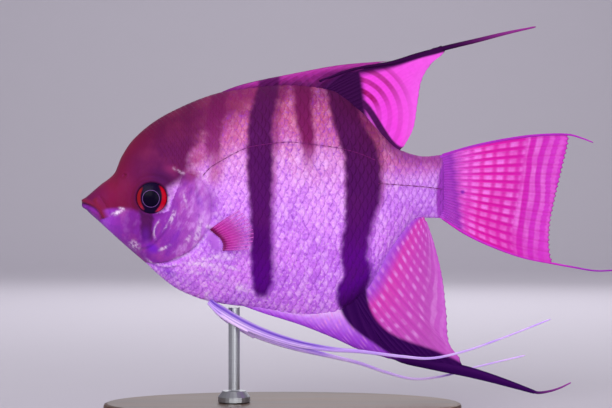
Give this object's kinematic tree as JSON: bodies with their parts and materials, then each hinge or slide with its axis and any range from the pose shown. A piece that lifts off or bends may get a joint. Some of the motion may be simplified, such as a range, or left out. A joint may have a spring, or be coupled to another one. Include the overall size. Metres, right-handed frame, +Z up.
{
  "type": "freshwater angelfish model",
  "caption": "Life-size model of a freshwater angelfish swimming, deep flat body with dark bars and long trailing fins, held over an oval base by one rod.",
  "frame": {"origin": "middle of the oval base's underside, on the surface that the stand rests on", "axes": "+X from the snout to the tail, along the fish; +Y from its left flank to its right; +Z up"},
  "size_m": [0.1536, 0.056, 0.1115],
  "materials": {
    "head_skin": "satin wet-looking skin, maroon above and lavender below",
    "flank_skin": "satin scaled skin, silvery lavender with violet-black upright bars",
    "fin": "satin translucent fin membrane, pink with rose spots and stripes",
    "dark_fin": "satin, violet-black",
    "pelvic_fin": "satin, pale bluish lavender",
    "eye": "clear gloss over a red iris and black pupil",
    "stand_wood": "dark stained hardwood, satin oil",
    "stand_steel": "satin brushed steel"
  },
  "bodies": {
    "root": {"head": "head_skin", "lower_jaw": "head_skin", "gill_cover_left": "flank_skin", "gill_cover_right": "flank_skin", "trunk": "flank_skin", "tail_stem": "flank_skin", "dorsal_fin_spiny": "fin", "dorsal_fin_soft": "fin", "dorsal_streamer": "dark_fin", "anal_fin_spiny": "fin", "anal_fin_soft": "fin", "anal_streamer": "dark_fin", "anal_filament": "dark_fin", "caudal_fin": "fin", "caudal_streamer_upper": "fin", "caudal_streamer_lower": "fin", "pectoral_fin_left": "fin", "pectoral_fin_right": "fin", "pelvic_fin_left": "pelvic_fin", "pelvic_fin_right": "pelvic_fin", "pelvic_streamer_left": "pelvic_fin", "pelvic_streamer_right": "pelvic_fin", "eye_left": "eye", "eye_right": "eye", "stand_base": "stand_wood", "stand_collar": "stand_steel", "stand_rod": "stand_steel"}
  },
  "joints": []
}
